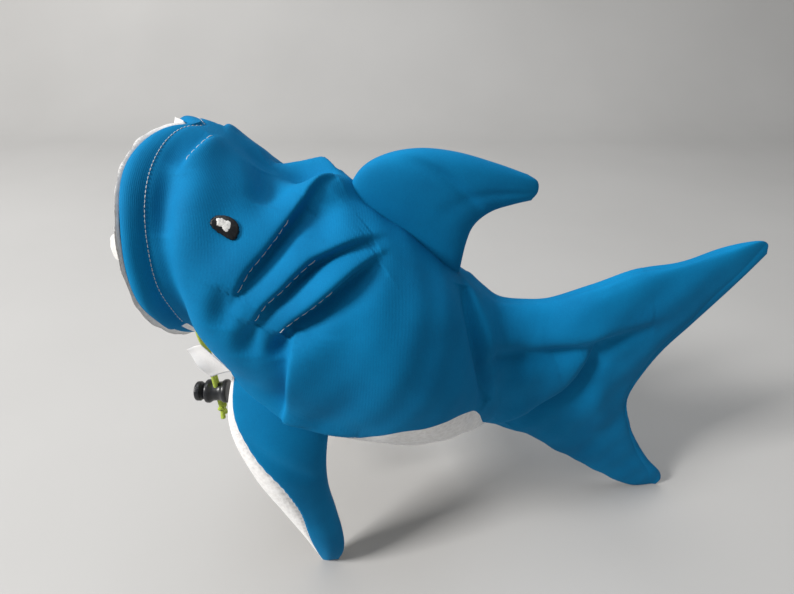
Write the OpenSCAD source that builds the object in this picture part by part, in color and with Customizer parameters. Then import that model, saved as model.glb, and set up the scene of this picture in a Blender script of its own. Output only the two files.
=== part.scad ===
// Plush shark with an open, lined mouth that a drawstring gathers.
// Millimetres. Nose towards -X, tail towards +X, back up, floor at z = 0.
// It stands on the tips of its two front fins and on the lower lobe of its tail.

/* [Overall size] */
// Length from the tips of the teeth to the tip of the tail
shark_length = 363; // [303:1:436]
// Height of the snout above the floor
shark_height = 296; // [247:1:355]
// Width across the belly
body_width = 150; // [125:1:180]

/* [Fabric] */
// Thickness of the stretch fabric panels
panel_t = 2.4; // [1.6:0.1:3.2]
// Thickness of the white fleece lining
lining_t = 2; // [1.2:0.1:3]
// How far below the widest line the belly seam runs
seam_angle = 36; // [28:1:44]

/* [Mouth] */
// Outer radius of the mouth's hem
rim_r = 60; // [50:1:66]
// Depth of the lined mouth behind its hem
mouth_depth = 86; // [60:1:104]
// Width of the hem along the body
hem_w = 12; // [9:0.5:16]
// Thickness of the hem
hem_t = 8; // [6.5:0.5:10]
// Number of teeth above
upper_tooth_count = 9; // [5:2:11]
// Number of teeth below
lower_tooth_count = 5; // [3:1:6]
// How far the teeth stand out of the hem
tooth_l = 11; // [6:0.5:14]
// Width of a tooth at its root
tooth_w = 10; // [6:0.5:13]
// Thickness of a tooth
tooth_t = 2.2; // [1.4:0.1:3.2]

/* [Face] */
// Length of an eye patch
eye_l = 16; // [12:0.5:22]
// Height of an eye patch
eye_h = 11.5; // [8:0.5:16]
// Thickness of an eye patch
eye_t = 1.3; // [0.8:0.1:2]
// Height of the gill tucks above the skin
tuck_h = 2.2; // [1:0.1:4]
// Width of a gill tuck
tuck_w = 6; // [3:0.5:8]
// Length of a nostril tuck
nostril_l = 24; // [14:1:30]

/* [Front fins] */
// Half of the thickness of a front fin where it is fullest
fin_half_t = 12.5; // [9:0.5:15]
// Radius of the rolled root that the fin swings on
fin_root_r = 4.5; // [3:0.1:6]
// Length of the flat rest at a front fin's tip
fin_foot_l = 12; // [8:0.5:18]

/* [Dorsal fin] */
// Half of the thickness of the dorsal fin where it is fullest
dorsal_half_t = 9; // [6:0.5:13]
// Radius of the rolled root that the dorsal fin swings on
dorsal_root_r = 5; // [3:0.1:6]

/* [Tail] */
// Radius of the rolled root that the tail swings on
tail_root_r = 18; // [13:0.5:22]
// Half of the thickness of the tail at the edge seams
tail_edge_t = 2.8; // [2.6:0.1:4]

/* [Drawstring and cord lock] */
// Diameter of the elastic drawstring
cord_d = 3; // [2:0.1:3.6]
// Radius of the lock's barrel
lock_r = 8; // [7.5:0.1:10]
// Length of the lock's barrel
lock_l = 15; // [13:0.5:20]
// Radius of the lock's plunger
plunger_r = 5.6; // [5.4:0.1:6.2]
// Travel of the plunger
plunger_travel = 2.8; // [2:0.1:3.2]
// Radius of the knot
knot_r = 4.2; // [3:0.1:6]

/* [Label] */
// How far the label stands out of its seam
label_l = 17; // [10:1:24]
// Height of the label along its seam
label_h = 24; // [14:1:30]
// Thickness of the label
label_t = 0.9; // [0.6:0.1:1.4]

/* [Clearances] */
// Room between two layers of the sewn body
layer_gap = 0.15; // [0.1:0.05:0.3]
// Room between the fabric and the filling inside it
filling_gap = 1; // [0.8:0.1:1.5]
// Room between the body's skin and the trim that is sewn on it
trim_gap = 0.4; // [0.3:0.05:0.6]
// Room between the body and a piece that swings on it
swing_gap = 0.8; // [0.5:0.1:1.5]
// Running clearance of the plunger in its barrel
lock_gap = 0.08; // [0.05:0.01:0.1]

/* [Hidden] */

TEAL = [0.0, 0.40, 0.60];
WHITE = [0.93, 0.93, 0.92];
BLACK = [0.04, 0.04, 0.045];
LIME = [0.72, 0.85, 0.10];
STEEL = [0.72, 0.72, 0.74];

// The outlines below are drawn for a shark 363 long, 296 high and 150 wide
kx = shark_length / 363;
ky = body_width / 150;
kz = shark_height / 296;

// The hem's front edge, its middle and the front edge of the body's panels
hem_front = -shark_length / 2 + tooth_l;
hem_mid = hem_front + hem_w / 2;
rim_x = hem_front + hem_w + layer_gap;
rim_z = shark_height - rim_r;
mouth_r = rim_r - hem_t;

// The trunk from the rim to the tail: place, top, underside and half width
TRUNK = [[rim_x, shark_height, rim_z - rim_r, rim_r],
         for (s = [[-138, 290, 152, 68], [-119, 277, 130, 72], [-98, 265, 110, 74],
                   [-70, 259, 95, 75], [-42, 242, 89, 74.5], [-14, 217, 87, 64],
                   [8, 198, 84, 44], [27, 184, 78, 22]])
             [s[0] * kx, s[1] * kz, s[2] * kz, s[3] * ky]];
trunk_end = TRUNK[len(TRUNK) - 1][0];
TRUNK_RINGS = 15;
SIDE_STEPS = 10;
BELLY_STEPS = 10;

// The tail swings on an upright axis through its rolled root
tail_front = trunk_end + swing_gap;
tail_axis_x = tail_front + tail_root_r;

// A front fin's root runs along the belly seam between these two places
FIN_FRONT = [-131 * kx, 41];
FIN_REAR = [-84 * kx, 33];
fin_tip_x = -97 * kx;
fin_y = 64 * ky;

// The dorsal fin's root runs along the back between these two places
DORSAL_FRONT_X = -70 * kx;
DORSAL_REAR_X = -5 * kx;

// Where the drawstring leaves the hem: below, a little to the left side
cord_exit_angle = 15;

// The two ends of the drawstring: from inside the hem, out of it, together above
// the lock, through it at the ninth point, and down into the knot
cord_x = -164.5;
LEFT_END = [for (p = [[-19, 183], [-20, 180], [-21, 177], [-20, 169], [-18, 162], [-17.1, 156],
                      [-17.1, 144], [-17.1, 132], [-17.1, 121], [-17.1, 113], [-17.1, 108]])
            [cord_x, p[0], p[1]]];
RIGHT_END = [for (p = [[-10, 181], [-11, 177], [-11.5, 174], [-12.5, 168], [-13.5, 162], [-13.9, 156],
                       [-13.9, 144], [-13.9, 132], [-13.9, 121], [-13.9, 113], [-13.9, 108]])
             [cord_x, p[0], p[1]]];
LOCK_PLACE = (LEFT_END[8] + RIGHT_END[8]) / 2;
KNOT_PLACE = (LEFT_END[10] + RIGHT_END[10]) / 2 - [0, 0, 2];
cord_r = cord_d / 2;
cord_hole_r = cord_r + 0.3;
tunnel_r = cord_r + 1;
lock_hole_r = 2 * cord_r + 0.4;
plunger_hole_r = 2 * cord_r + 0.8;
cord_spread = 2.6 * cord_r + 0.6;
plunger_head_l = 4;
plunger_head_r = plunger_r + 1;
spring_r = plunger_r - 1.4;
spring_wire = 0.9;

// ---------------------------------------------------------------- functions

function mix(a, b, t) = a + (b - a) * t;
function unit(v) = v / norm(v);

// Cubic value of a table at x, with the first column as x
function row_of(t, x, i = 0) = (i >= len(t) - 2 || x <= t[i + 1][0]) ? i : row_of(t, x, i + 1);
function slope(t, i) =
    let (a = t[max(i - 1, 0)], b = t[min(i + 1, len(t) - 1)]) (b - a) / (b[0] - a[0]);
function at(t, x) =
    let (i = row_of(t, x), a = t[i], b = t[i + 1], w = b[0] - a[0], s = (x - a[0]) / w)
    a * (2 * s * s * s - 3 * s * s + 1) + slope(t, i) * w * (s * s * s - 2 * s * s + s)
    + b * (3 * s * s - 2 * s * s * s) + slope(t, i + 1) * w * (s * s * s - s * s);

// Smooth curve through a list of points, u from 0 to 1
function along(p, u) =
    let (n = len(p) - 1, i = min(floor(u * n), n - 1), t = u * n - i,
         a = p[max(i - 1, 0)], b = p[i], c = p[i + 1], d = p[min(i + 2, n)])
    0.5 * (2 * b + (c - a) * t + (2 * a - 5 * b + 4 * c - d) * t * t
           + (3 * b - a - 3 * c + d) * t * t * t);

// A point of the trunk's skin: angle 0 is the right side, 90 the back, 180 the left side
function skin(x, angle, out = 0) =
    let (s = at(TRUNK, x), high = (s[1] - s[2]) / 2, mid = (s[1] + s[2]) / 2)
    [x, (s[3] + out) * cos(angle), mid + (high + out) * sin(angle)];

// The same, moved by a along the body and by b up around its left side
function left_skin(x, angle, a, b, out) =
    let (s = at(TRUNK, x), around = b * 180 / PI / ((s[1] - s[2] + 2 * s[3]) / 4))
    skin(x + a, angle - around, out);

// A surface between four edge curves: root and tip run with u, lead and trail with v
function coons(root, tip, lead, trail, u, v) =
    mix(along(root, u), along(tip, u), v) + mix(along(lead, v), along(trail, v), u)
    - mix(mix(root[0], root[len(root) - 1], u), mix(tip[0], tip[len(tip) - 1], u), v);

function above_floor(p) = [p[0], p[1], max(p[2], 0)];

// Two triangles of a grid cell
function cell(a, b, c, d) = [[a, b, c], [a, c, d]];

// Volume with its sign, and faces turned so that it is positive
function signed_volume(p, f) =
    [for (t = f) cross(p[t[0]], p[t[1]]) * p[t[2]]] * [for (t = f) 1];
function outward(p, f) = signed_volume(p, f) < 0 ? f : [for (t = f) [t[2], t[1], t[0]]];

// ------------------------------------------------------------ solid makers

// A closed slab between two grids of points with the same rows and columns
module slab(upper, lower) {
    m = len(upper);
    n = len(upper[0]);
    points = [for (grid = [upper, lower], row = grid, p = row) p];
    function id(k, i, j) = (k * m + i) * n + j;
    faces = [
        for (i = [0:m - 2], j = [0:n - 2])
            each cell(id(0, i, j), id(0, i, j + 1), id(0, i + 1, j + 1), id(0, i + 1, j)),
        for (i = [0:m - 2], j = [0:n - 2])
            each cell(id(1, i, j), id(1, i + 1, j), id(1, i + 1, j + 1), id(1, i, j + 1)),
        for (j = [0:n - 2])
            each cell(id(0, 0, j), id(1, 0, j), id(1, 0, j + 1), id(0, 0, j + 1)),
        for (j = [0:n - 2])
            each cell(id(0, m - 1, j), id(0, m - 1, j + 1), id(1, m - 1, j + 1), id(1, m - 1, j)),
        for (i = [0:m - 2])
            each cell(id(0, i, 0), id(0, i + 1, 0), id(1, i + 1, 0), id(1, i, 0)),
        for (i = [0:m - 2])
            each cell(id(0, i, n - 1), id(1, i, n - 1), id(1, i + 1, n - 1), id(0, i + 1, n - 1))
    ];
    polyhedron(points, outward(points, faces));
}

// A closed skin carried over rings of points, with a fan over the first and the last
module loft(rings) {
    m = len(rings);
    n = len(rings[0]);
    function middle(ring) = [for (p = ring) 1] * ring / n;
    points = [for (ring = rings, p = ring) p, middle(rings[0]), middle(rings[m - 1])];
    faces = [
        for (i = [0:m - 2], j = [0:n - 1])
            each cell(i * n + j, i * n + (j + 1) % n, (i + 1) * n + (j + 1) % n, (i + 1) * n + j),
        for (j = [0:n - 1]) [m * n, (j + 1) % n, j],
        for (j = [0:n - 1]) [m * n + 1, (m - 1) * n + j, (m - 1) * n + (j + 1) % n]
    ];
    polyhedron(points, outward(points, faces));
}

// Half of a padded fin: its outer face and an inner face one panel deeper
module fin_panel(grid, side) {
    slab([for (row = grid) [for (p = row) above_floor([p[0], p[1] + side * p[3], p[2]])]],
         [for (row = grid) [for (p = row) above_floor([p[0],
             p[1] + side * max(p[3] - panel_t, layer_gap / 2), p[2]])]]);
}

// The filling inside a padded fin, one cell in from every edge seam
module fin_filling(grid) {
    function half(p) = max(p[3] - panel_t - layer_gap, layer_gap / 2);
    inner = [for (i = [1:len(grid) - 2]) [for (j = [1:len(grid[0]) - 2]) grid[i][j]]];
    slab([for (row = inner) [for (p = row) [p[0], p[1] + half(p), p[2]]]],
         [for (row = inner) [for (p = row) [p[0], p[1] - half(p), p[2]]]]);
}

// A rounded bead on the left side of the trunk between two places, as a sewn tuck
bead_skin_r = 70;
module bead(x0, angle0, x1, angle1, width, height) {
    rings = 9;
    steps = 10;
    run = [x1 - x0, (angle0 - angle1) * PI / 180 * bead_skin_r];
    across = [-run[1], run[0]] / norm(run);
    loft([for (i = [0:rings - 1])
        let (s = i / (rings - 1), full = 0.15 + 0.85 * sin(180 * s))
        [for (j = [0:steps - 1])
            let (q = 360 * j / steps, c = width / 2 * full * cos(q),
                 h = trim_gap + (q < 180 ? height * full * sin(q) : 0))
            left_skin(mix(x0, x1, s), mix(angle0, angle1, s), c * across[0], c * across[1], h)]]);
}

// A thin patch sewn on the left side of the trunk: a drop shape, pointed backwards
module patch(x, angle, length, high, low, top, turn) {
    steps = 24;
    function ring(scale, out) = [for (j = [0:steps - 1])
        let (q = 360 * j / steps, r = scale * (1 + 0.14 * pow(cos(q), 3)),
             a = length / 2 * r * cos(q), b = high / 2 * r * sin(q))
        left_skin(x, angle, a * cos(turn) + b * sin(turn), b * cos(turn) - a * sin(turn), out)];
    loft([ring(0.1, top), ring(0.6, top), ring(0.93, top - 0.2), ring(1, (top + low) / 2),
          ring(0.95, low), ring(0.6, low), ring(0.1, low)]);
}

// A round cord along a list of points that never runs along X
module cord(points, r, sides = 8) {
    n = len(points);
    loft([for (i = [0:n - 1])
        let (t = unit(points[min(i + 1, n - 1)] - points[max(i - 1, 0)]),
             a = unit(cross(t, [1, 0, 0])), b = cross(t, a))
        [for (j = [0:sides - 1]) points[i] + r * (a * cos(360 * j / sides)
                                                 + b * sin(360 * j / sides))]]);
}

module right() mirror([0, 1, 0]) children();

// --------------------------------------------------------------- the trunk

function ring_x(i) = mix(rim_x, trunk_end, i / (TRUNK_RINGS - 1));
function panel_grid(from, to, steps, out, first = 0) =
    [for (i = [first:TRUNK_RINGS - 1]) [for (j = [0:steps])
        skin(ring_x(i), mix(from, to, j / steps), out)]];

// Angle that leaves half a layer gap at a seam
seam_half = layer_gap / 2 / rim_r * 180 / PI;
side_end = 180 + seam_angle;
belly_end = 360 - seam_angle;

module trunk_panel(from, to, steps) {
    slab(panel_grid(from, to, steps, 0), panel_grid(from, to, steps, -panel_t));
}

// The recess that the lining fills: place, middle and radius
mouth_bottom = rim_x + mouth_depth;
MOUTH_RINGS = 9;
function mouth_ring(i, grow) =
    let (s = sin(90 * i / (MOUTH_RINGS - 1)), x = rim_x + (mouth_depth + grow) * s,
         row = at(TRUNK, x), r = mouth_r * pow(1 - pow(min(s, 0.985), 3), 0.5) + grow)
    [x, (row[1] + row[2]) / 2, r];
function round_ring(c, angles) = [for (q = angles) [c[0], c[2] * cos(q), c[1] + c[2] * sin(q)]];

RING_ANGLES = [for (j = [0:SIDE_STEPS - 1]) mix(-seam_angle, 90, j / SIDE_STEPS),
               for (j = [0:SIDE_STEPS - 1]) mix(90, side_end, j / SIDE_STEPS),
               for (j = [0:BELLY_STEPS - 1]) mix(side_end, belly_end, j / BELLY_STEPS)];

module body_stuffing() {
    out = -panel_t - filling_gap;
    color("ivory")
    loft([for (i = [TRUNK_RINGS - 1:-1:0]) [for (q = RING_ANGLES) skin(ring_x(i), q, out)],
          for (i = [0:MOUTH_RINGS - 1]) round_ring(mouth_ring(i, 0), RING_ANGLES)]);
}

module left_side_panel() {
    color(TEAL) trunk_panel(90 + seam_half, side_end - seam_half, SIDE_STEPS);
}

module right_side_panel() {
    color(TEAL) right() trunk_panel(90 + seam_half, side_end - seam_half, SIDE_STEPS);
}

module belly_panel() {
    color(WHITE) trunk_panel(side_end + seam_half, belly_end - seam_half, BELLY_STEPS);
}

module mouth_lining() {
    color(WHITE)
    loft([for (i = [0:MOUTH_RINGS - 1])
              round_ring(mouth_ring(MOUTH_RINGS - 1 - i, -layer_gap), RING_ANGLES),
          for (i = [0:MOUTH_RINGS - 1])
              round_ring(mouth_ring(i, -layer_gap - lining_t), RING_ANGLES)]);
}

// -------------------------------------------------- the hem and the teeth

// Moves a profile drawn as radius and place along X onto the rim
module about_rim() {
    translate([hem_mid, 0, rim_z]) rotate([0, 90, 0]) children();
}

module hem_profile() {
    difference() {
        union() {
            for (side = [-1, 1])
                translate([rim_r - hem_t / 2, side * (hem_w - hem_t) / 2]) circle(hem_t / 2, $fn = 32);
            translate([rim_r - hem_t, -(hem_w - hem_t) / 2]) square([hem_t, hem_w - hem_t]);
        }
        translate([rim_r - hem_t / 2, 0]) circle(tunnel_r, $fn = 24);
    }
}

// Half of the angle between the two holes that the drawstring leaves by
cord_half_angle = asin(cord_spread / (rim_r - hem_t / 2));

module mouth_hem() {
    color(TEAL) difference() {
        about_rim() rotate_extrude($fn = 96) hem_profile();
        for (side = [-1, 1])
            translate([hem_mid, 0, rim_z])
                rotate([-cord_exit_angle + side * cord_half_angle, 0, 0])
                    translate([0, 0, -rim_r - 1])
                        cylinder(r = cord_hole_r, h = hem_t / 2 + 1, $fn = 32);
    }
}

module rim_drawstring() {
    // the string's ring is open between the two holes
    color(LIME) translate([hem_mid, 0, rim_z])
        rotate([-90 - cord_exit_angle + cord_half_angle, 0, 0]) rotate([90, 0, 90])
            rotate_extrude(angle = 360 - 2 * cord_half_angle, $fn = 96)
                translate([rim_r - hem_t / 2, 0]) circle(cord_r, $fn = 24);
}

// One felt tooth at an angle from straight up, sewn inside the hem
module tooth(angle) {
    root = hem_w / 2;
    translate([hem_front, 0, rim_z]) rotate([angle, 0, 0])
        translate([0, 0, mouth_r - trim_gap - tooth_t]) linear_extrude(tooth_t)
            polygon([[root, -tooth_w / 2], [0, -tooth_w * 0.46], [-tooth_l, -tooth_w * 0.2],
                     [-tooth_l, tooth_w * 0.2], [0, tooth_w * 0.46], [root, tooth_w / 2]]);
}

module upper_teeth() {
    color(WHITE) for (i = [0:upper_tooth_count - 1])
        tooth(mix(-104, 104, i / (upper_tooth_count - 1)));
}

module lower_teeth() {
    color(WHITE) for (i = [0:lower_tooth_count - 1])
        tooth(mix(136, 224, i / (lower_tooth_count - 1)));
}

// ----------------------------------------------------------------- the face

eye_x = -123 * kx;
eye_angle = 136;
eye_turn = -8;

module eye() {
    patch(eye_x, eye_angle, eye_l, eye_h, trim_gap, trim_gap + eye_t, eye_turn);
}

module eye_glint() {
    patch(eye_x - eye_l * 0.12, eye_angle - 1, eye_l * 0.36, eye_h * 0.34,
          trim_gap + layer_gap + eye_t, trim_gap + layer_gap + eye_t + 0.7, eye_turn);
}

module left_eye() {
    color(BLACK) eye();
}

module right_eye() {
    color(BLACK) right() eye();
}

module left_eye_glint() {
    color(WHITE) eye_glint();
}

module right_eye_glint() {
    color(WHITE) right() eye_glint();
}

// Each gill is a slanted tuck: front place and angle, rear place and angle
GILLS = [[-122, 158, -96, 118], [-108, 156, -83, 131], [-99, 161, -72, 140]];

module gill_tucks() {
    for (g = GILLS) bead(g[0] * kx, g[1], g[2] * kx, g[3], tuck_w, tuck_h);
}

module left_gill_tucks() {
    color(TEAL) gill_tucks();
}

module right_gill_tucks() {
    color(TEAL) right() gill_tucks();
}

// Each nostril is a smaller tuck that slants up and back from behind the rim
nostril_x = rim_x + 14;
nostril_run = nostril_l / 3;
nostril_turn = sqrt(nostril_l * nostril_l - nostril_run * nostril_run) * 180 / PI / bead_skin_r;

module nostril_tuck() {
    bead(nostril_x, 117, nostril_x + nostril_run, 117 - nostril_turn, tuck_w * 0.6, tuck_h * 0.6);
}

module nostril_tucks() {
    color(TEAL) {
        nostril_tuck();
        right() nostril_tuck();
    }
}

// ----------------------------------------------------------------- the tail

TAIL_ROOT = [[tail_front, 0, 78 * kz], [tail_front, 0, 131 * kz], [tail_front, 0, 184 * kz]];
TAIL_EDGE = [for (p = [[177, 0], [174, 18], [163, 30], [150, 48], [138, 68], [130, 86], [127.5, 102],
                       [131, 122], [140, 145], [152, 166], [166, 190], [181.5, 219]])
             [p[0] * kx, 0, p[1] * kz]];
TAIL_BELOW = [TAIL_ROOT[0], for (p = [[60, 65], [88, 45], [115, 26], [142, 7], [163, 0]])
              [p[0] * kx, 0, p[1] * kz], TAIL_EDGE[0]];
TAIL_ABOVE = [TAIL_ROOT[2], for (p = [[58, 184], [84, 194], [108, 205], [132, 213], [155, 220]])
              [p[0] * kx, 0, p[1] * kz], [176 * kx, 0, 228 * kz], TAIL_EDGE[11]];
TAIL_V = [0, 0.015, 0.04, 0.075, 0.12, 0.2, 0.3, 0.4, 0.5, 0.6, 0.7, 0.8, 0.9, 0.96, 1];
TAIL_U = [0, 0.05, 0.12, 0.21, 0.31, 0.42, 0.5, 0.58, 0.69, 0.79, 0.88, 0.95, 1];

// Half thickness of the tail at d behind its front: rolled at its root, full there and
// thin at every edge seam
function tail_thickness(u, v, d) =
    let (round_u = pow(4 * u * (1 - u), 0.5),
         root = d < tail_root_r ? sqrt(max(0, 2 * tail_root_r * d - d * d)) : tail_root_r,
         fade = 1 - pow(max(0, v - 0.12) / 0.88, 0.85))
    d < 0.1 ? 0.4 * tail_edge_t
            : min(root, tail_edge_t) + max(0, root * fade - tail_edge_t) * round_u;

TAIL_GRID = [for (v = TAIL_V) [for (u = TAIL_U)
    let (p = coons(TAIL_ROOT, TAIL_EDGE, TAIL_BELOW, TAIL_ABOVE, u, v))
    [p[0], p[1], p[2], tail_thickness(u, v, p[0] - tail_front)]]];

module tail_stuffing() {
    color("ivory") fin_filling(TAIL_GRID);
}

module tail_left_panel() {
    color(TEAL) fin_panel(TAIL_GRID, -1);
}

module tail_right_panel() {
    color(TEAL) fin_panel(TAIL_GRID, 1);
}

// ----------------------------------------------------------- the front fins

FIN_V = [0, 0.012, 0.03, 0.06, 0.12, 0.22, 0.34, 0.46, 0.58, 0.7, 0.82, 0.92, 1];
FIN_U = [0, 0.06, 0.16, 0.3, 0.5, 0.7, 0.84, 0.94, 1];

// The straight axis lies clear of the bulge of the trunk between its two ends
fin_normal = [0, -cos(FIN_REAR[1] + 4), -sin(FIN_REAR[1] + 4)];
function fin_seat(u) = skin(mix(FIN_FRONT[0], FIN_REAR[0], u), 180 + mix(FIN_FRONT[1], FIN_REAR[1], u));
fin_bulge = max([for (i = [0:10]) let (u = i / 10)
    (fin_seat(u) - mix(fin_seat(0), fin_seat(1), u)) * fin_normal]);
fin_lift = fin_bulge + fin_root_r + swing_gap;
fin_axis_a = fin_seat(0) + fin_lift * fin_normal;
fin_axis_b = fin_seat(1) + fin_lift * fin_normal;

FIN_ROOT = [fin_axis_a + [0, 0, fin_root_r], fin_axis_b + [0, 0, fin_root_r]];
FIN_TIP = [[fin_tip_x, -fin_y, 0], [fin_tip_x + fin_foot_l, -fin_y, 0]];
FIN_LEAD = [FIN_ROOT[0], for (p = [[-138, 137], [-131, 105], [-120, 72], [-110, 42], [-102, 18]])
            [p[0] * kx, -fin_y, p[1] * kz], FIN_TIP[0]];
FIN_TRAIL = [FIN_ROOT[1], for (p = [[-86, 110], [-86, 84], [-83, 58], [-80, 34], [-80, 14]])
             [p[0] * kx, -fin_y, p[1] * kz], FIN_TIP[1]];
fin_run = fin_axis_b[2];

// Half thickness of a front fin: rolled at its root and fullest a third of the way down
function fin_thickness(u, v) =
    let (d = v * fin_run, root = d < fin_root_r ? sqrt(max(0, 2 * fin_root_r * d - d * d)) : fin_root_r,
         full = fin_half_t * pow(sin(180 * min(1, pow(v, 0.75) * 0.94)), 0.8),
         edge = min(root, panel_t + 0.4))
    max(0.6, edge + max(0, max(root, full) - edge) * pow(4 * u * (1 - u), 0.45));

FIN_GRID = [for (v = FIN_V) [for (u = FIN_U)
    let (p = coons(FIN_ROOT, FIN_TIP, FIN_LEAD, FIN_TRAIL, u, v))
    [p[0], p[1], p[2], fin_thickness(u, v)]]];

module left_fin_stuffing() {
    color("ivory") fin_filling(FIN_GRID);
}

module left_fin_top() {
    color(TEAL) fin_panel(FIN_GRID, -1);
}

module left_fin_under() {
    color(WHITE) fin_panel(FIN_GRID, 1);
}

module right_fin_stuffing() {
    color("ivory") right() fin_filling(FIN_GRID);
}

module right_fin_top() {
    color(TEAL) right() fin_panel(FIN_GRID, -1);
}

module right_fin_under() {
    color(WHITE) right() fin_panel(FIN_GRID, 1);
}

// ----------------------------------------------------------- the dorsal fin

DORSAL_V = [0, 0.03, 0.08, 0.16, 0.28, 0.42, 0.56, 0.7, 0.84, 0.94, 1];
DORSAL_U = [0, 0.06, 0.16, 0.3, 0.5, 0.7, 0.84, 0.94, 1];
function dorsal_seat(u) = skin(mix(DORSAL_FRONT_X, DORSAL_REAR_X, u), 90);
dorsal_line = unit(dorsal_seat(1) - dorsal_seat(0));
dorsal_normal = [-dorsal_line[2], 0, dorsal_line[0]];
dorsal_bulge = max([for (i = [0:10]) let (u = i / 10)
    (dorsal_seat(u) - mix(dorsal_seat(0), dorsal_seat(1), u)) * dorsal_normal]);
dorsal_lift = dorsal_bulge + dorsal_root_r + swing_gap;
dorsal_axis_a = dorsal_seat(0) + dorsal_lift * dorsal_normal;
dorsal_axis_b = dorsal_seat(1) + dorsal_lift * dorsal_normal;

DORSAL_ROOT = [dorsal_axis_a - dorsal_root_r * dorsal_normal,
               dorsal_axis_b - dorsal_root_r * dorsal_normal];
DORSAL_TIP = [for (p = [[30, 267], [37, 260], [36, 254]]) [p[0] * kx, 0, p[1] * kz]];
DORSAL_LEAD = [DORSAL_ROOT[0], for (p = [[-52, 277], [-33, 281], [-12, 279], [10, 274]])
               [p[0] * kx, 0, p[1] * kz], DORSAL_TIP[0]];
DORSAL_TRAIL = [DORSAL_ROOT[1], for (p = [[0, 226], [3, 238], [12, 246], [24, 250]])
                [p[0] * kx, 0, p[1] * kz], DORSAL_TIP[2]];
dorsal_run = 90 * kx;

// Half thickness of the dorsal fin: rolled at its root and thin at its tip
function dorsal_thickness(u, v) =
    let (d = v * dorsal_run,
         root = d < dorsal_root_r ? sqrt(max(0, 2 * dorsal_root_r * d - d * d)) : dorsal_root_r,
         full = dorsal_half_t * pow(sin(180 * min(1, pow(v, 0.8) * 0.95)), 0.8),
         edge = min(root, panel_t + 0.2))
    max(0.6, edge + max(0, max(root * (1 - 0.4 * v), full) - edge) * pow(4 * u * (1 - u), 0.45));

DORSAL_GRID = [for (v = DORSAL_V) [for (u = DORSAL_U)
    let (p = coons(DORSAL_ROOT, DORSAL_TIP, DORSAL_LEAD, DORSAL_TRAIL, u, v))
    [p[0], p[1], p[2], dorsal_thickness(u, v)]]];

module dorsal_stuffing() {
    color("ivory") fin_filling(DORSAL_GRID);
}

module dorsal_left_panel() {
    color(TEAL) fin_panel(DORSAL_GRID, -1);
}

module dorsal_right_panel() {
    color(TEAL) fin_panel(DORSAL_GRID, 1);
}

// ------------------------------------------------ the drawstring's free ends

module drawstring_left_end() {
    color(LIME) cord(LEFT_END, cord_r);
}

module drawstring_right_end() {
    color(LIME) cord(RIGHT_END, cord_r);
}

module drawstring_knot() {
    color(LIME) translate(KNOT_PLACE) sphere(knot_r, $fn = 24);
}

// ------------------------------------------------------------- the cord lock

// Moves a piece drawn along Z to the lock, with Z turned towards +X
module at_lock() {
    translate(LOCK_PLACE) rotate([0, 90, 0]) children();
}

module cord_hole(r, shift) {
    translate(LOCK_PLACE + [shift, 0, -2 * lock_r]) cylinder(r = r, h = 4 * lock_r, $fn = 48);
}

lock_back = lock_l / 2;
bore_end = lock_back - 1.6;

module lock_barrel() {
    color(BLACK) difference() {
        at_lock() translate([0, 0, -lock_l / 2]) cylinder(r = lock_r, h = lock_l, $fn = 64);
        at_lock() translate([0, 0, -lock_l / 2 - 1])
            cylinder(r = plunger_r + lock_gap, h = lock_l / 2 + 1 + bore_end, $fn = 64);
        cord_hole(lock_hole_r, 0);
    }
}

// Shift of the plunger's hole at rest, when its wall pinches the cords
pinch = -plunger_travel / 2;
plunger_end = bore_end - plunger_travel - 1.2;

module lock_plunger() {
    color(BLACK) difference() {
        at_lock() {
            translate([0, 0, -lock_l / 2 - plunger_travel - 0.4])
                cylinder(r = plunger_r, h = lock_l / 2 + plunger_travel + 0.4 + plunger_end, $fn = 64);
            translate([0, 0, -lock_l / 2 - plunger_travel - 0.4 - plunger_head_l])
                cylinder(r = plunger_head_r, h = plunger_head_l, $fn = 64);
        }
        cord_hole(plunger_hole_r, pinch);
    }
}

module lock_spring() {
    // coils pressed between the plunger's end and the barrel's closed end
    color(STEEL) at_lock() translate([0, 0, (plunger_end + bore_end) / 2])
        rotate_extrude($fn = 48) translate([spring_r, 0])
            square([spring_wire, bore_end - plunger_end - 0.1], center = true);
}

// ------------------------------------------------------------------ the label

label_x = -147 * kx;
label_axis_a = skin(label_x, side_end - 1, 1.3);
label_axis_b = skin(label_x + label_h * 0.42, side_end - 1, 1.3);

// The label leans forwards and clears the hem
label_clear = 8.5;
label_aim = [label_x - label_l, (rim_r + label_clear) * cos(side_end + 8),
             rim_z + (rim_r + label_clear) * sin(side_end + 8)];

module label() {
    down = unit(label_axis_b - label_axis_a);
    out = unit(label_aim - label_axis_a);
    face = unit(cross(down, out));
    color(WHITE) slab([for (a = [0, 1]) [for (b = [0, 1])
                          label_axis_a + a * label_h * down + (0.6 + b * label_l) * out]],
                      [for (a = [0, 1]) [for (b = [0, 1])
                          label_axis_a + a * label_h * down + (0.6 + b * label_l) * out
                          + label_t * face]]);
}

body_stuffing();
left_side_panel();
right_side_panel();
belly_panel();
mouth_lining();
mouth_hem();
upper_teeth();
lower_teeth();
left_eye();
right_eye();
left_eye_glint();
right_eye_glint();
left_gill_tucks();
right_gill_tucks();
nostril_tucks();
tail_stuffing();
tail_left_panel();
tail_right_panel();
left_fin_stuffing();
left_fin_top();
left_fin_under();
right_fin_stuffing();
right_fin_top();
right_fin_under();
dorsal_stuffing();
dorsal_left_panel();
dorsal_right_panel();
rim_drawstring();
drawstring_left_end();
drawstring_right_end();
drawstring_knot();
lock_barrel();
lock_plunger();
lock_spring();
label();
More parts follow.
